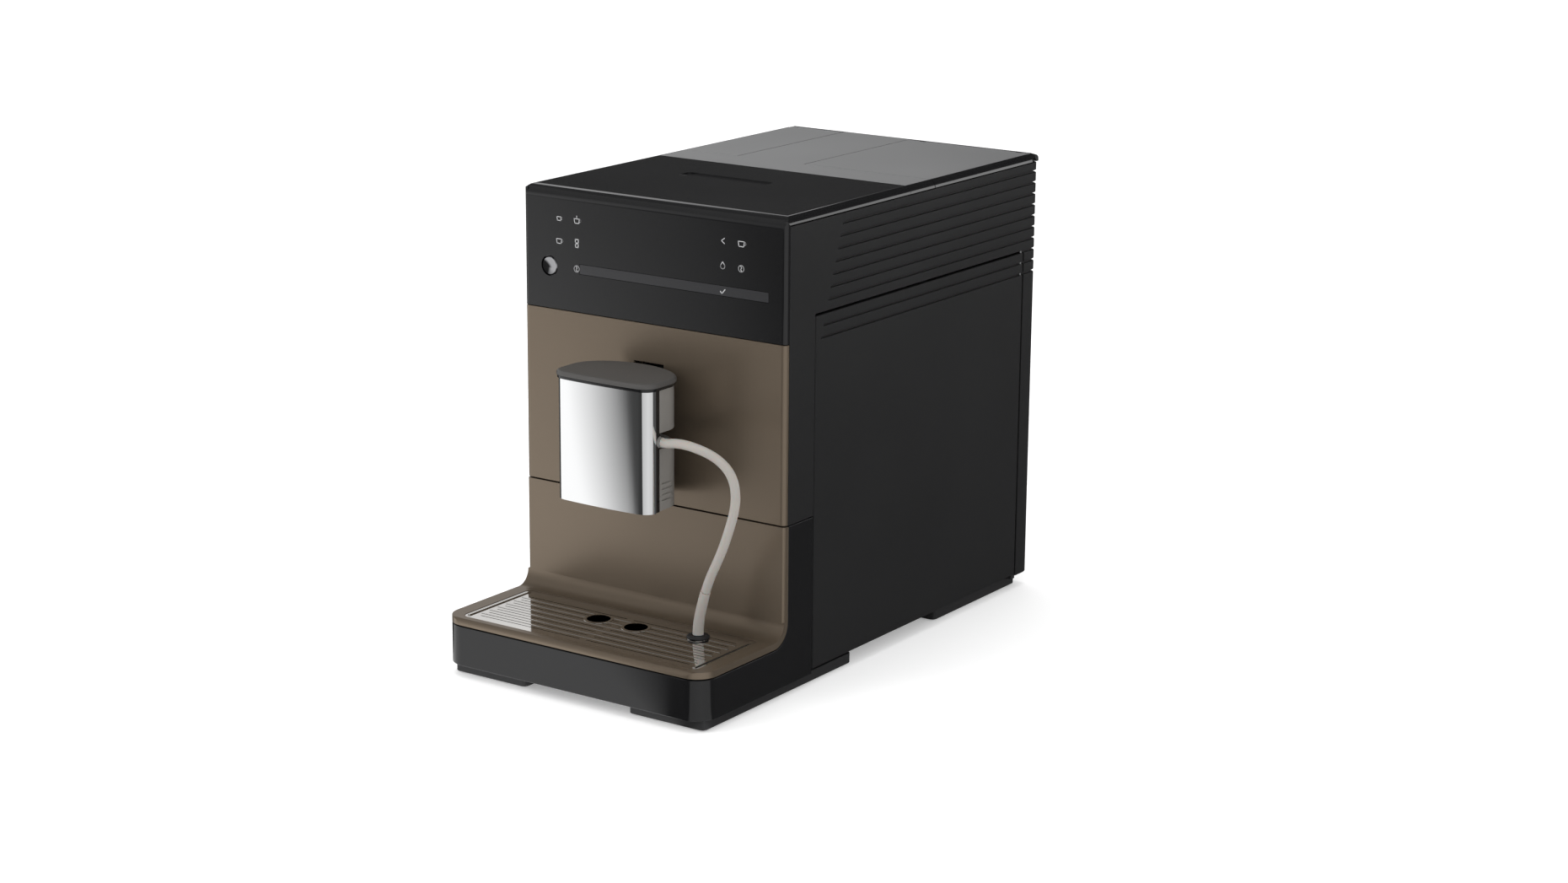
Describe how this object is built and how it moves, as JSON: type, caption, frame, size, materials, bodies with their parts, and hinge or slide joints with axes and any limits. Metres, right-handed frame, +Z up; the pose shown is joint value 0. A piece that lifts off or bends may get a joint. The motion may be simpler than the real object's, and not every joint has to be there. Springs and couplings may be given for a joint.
{
  "type": "bean to cup coffee machine",
  "caption": "Compact countertop bean to cup coffee machine with a height-adjustable dispenser, milk hose, lift-out water tank, bean hopper, burr grinder, brew unit and pull-out drip tray.",
  "frame": {"origin": "on the resting plane under the rubber feet, in the middle of the whole outline", "axes": "+X towards the machine's service door side (the right side seen from the front), +Y towards the back, +Z up; the dispenser and drip tray face -Y"},
  "size_m": [0.241, 0.46, 0.36],
  "materials": {
    "bronze": "warm bronze lacquer with a fine pearl, satin",
    "gloss": "deep gloss black",
    "satin": "satin black, fine grain",
    "shelf": "satin graphite",
    "strip": "satin dark grey",
    "chrome": "bright chrome",
    "silver": "silver lacquer",
    "stainless": "polished stainless steel",
    "rubber": "matte rubber",
    "hose": "milky translucent silicone, matte",
    "clear": "clear tinted plastic",
    "smoke": "smoked plastic",
    "grey": "matte grey",
    "black": "matte black",
    "steel": "machined steel",
    "alloy": "cast aluminium",
    "board": "green board",
    "natural": "natural white plastic"
  },
  "bodies": {
    "housing": {"base_pan": "black", "rubber_foot_front_left": "rubber", "rubber_foot_front_right": "rubber", "rubber_foot_rear_left": "rubber", "rubber_foot_rear_right": "rubber", "chassis": "black", "side_shell_left": "satin", "side_shell_right": "satin", "rear_panel": "satin", "upper_front_panel": "bronze", "door_hinge_pin": "steel", "control_panel": "gloss", "display_window": "smoke", "control_board": "board", "cup_shelf": "shelf", "bean_lid_pin": "steel", "spout_rail": "black", "tank_socket": "natural", "pump": "steel", "heater": "alloy", "suction_pipe": "natural", "pressure_pipe": "natural", "brew_water_pipe": "natural", "coffee_pipe": "natural", "bean_hopper": "smoke", "grinder_housing": "grey", "ring_burr": "steel", "grinder_motor": "alloy", "ground_chute": "grey", "brew_frame": "black", "brew_sieve": "steel", "brew_motor": "alloy", "power_board": "board", "mains_inlet": "black"},
    "power_button": {"power_button": "gloss"},
    "service_door": {"service_door": "satin"},
    "bean_lid": {"bean_lid": "shelf"},
    "water_tank": {"water_tank": "clear", "tank_valve": "natural", "tank_seal": "rubber", "tank_lid_pin": "steel"},
    "tank_lid": {"tank_lid": "shelf"},
    "dispenser": {"spout_carriage": "black", "spout_body": "silver", "spout_shell": "chrome", "spout_cap": "gloss", "coffee_nozzle_left": "black", "coffee_nozzle_right": "black", "milk_frother": "silver"},
    "tray_module": {"tray_fascia": "bronze", "tray_carrier": "strip", "drip_tray": "black", "waste_bin": "black"},
    "drip_grille": {"drip_grille": "stainless", "hose_grommet": "strip", "hose_end_tube": "hose"},
    "milk_hose": {"milk_hose": "hose"},
    "grinder_rotor": {"cone_burr": "steel"},
    "grind_lever": {"grind_lever": "black"},
    "brew_piston": {"brew_piston": "natural"}
  },
  "joints": [
    {"name": "power_button_press", "type": "slide", "parent": "housing", "child": "power_button", "axis": [0, 1, 0], "range_m": [0, 0.0012], "stiffness_N_per_m": 1200},
    {"name": "service_door_swing", "type": "hinge", "parent": "housing", "child": "service_door", "pos_m": [0.1186, 0.2059, 0.148], "axis": [0, 0, 1], "range_deg": [0, 100]},
    {"name": "bean_lid_tilt", "type": "hinge", "parent": "housing", "child": "bean_lid", "pos_m": [0.06, 0.2222, 0.3582], "axis": [-1, 0, 0], "range_deg": [0, 95]},
    {"name": "water_tank_lift", "type": "slide", "parent": "housing", "child": "water_tank", "axis": [0, 0, 1], "range_m": [0, 0.22]},
    {"name": "tank_lid_tilt", "type": "hinge", "parent": "water_tank", "child": "tank_lid", "pos_m": [-0.092, 0.2222, 0.3582], "axis": [-1, 0, 0], "range_deg": [0, 95]},
    {"name": "dispenser_height", "type": "slide", "parent": "housing", "child": "dispenser", "axis": [0, 0, 1], "range_m": [0, 0.055]},
    {"name": "tray_module_pull", "type": "slide", "parent": "housing", "child": "tray_module", "axis": [0, -1, 0], "range_m": [0, 0.19]},
    {"name": "drip_grille_lift", "type": "slide", "parent": "tray_module", "child": "drip_grille", "axis": [0, 0, 1], "range_m": [0, 0.04]},
    {"name": "milk_hose_follow", "type": "slide", "parent": "drip_grille", "child": "milk_hose", "axis": [0, 0, 1], "range_m": [0, 0.055], "deforming": ["milk_hose"]},
    {"name": "grinder_spin", "type": "hinge", "parent": "housing", "child": "grinder_rotor", "pos_m": [0.058, 0.14, 0.27], "axis": [0, 0, 1], "continuous": true},
    {"name": "grind_lever_turn", "type": "hinge", "parent": "housing", "child": "grind_lever", "pos_m": [0.058, 0.14, 0.275], "axis": [0, 0, 1], "range_deg": [-20, 20]},
    {"name": "brew_piston_lift", "type": "slide", "parent": "housing", "child": "brew_piston", "axis": [0, 0, 1], "range_m": [0, 0.028]}
  ],
  "couplings": [
    {"joint": "milk_hose_follow", "follows": "dispenser_height", "ratio": 1}
  ]
}
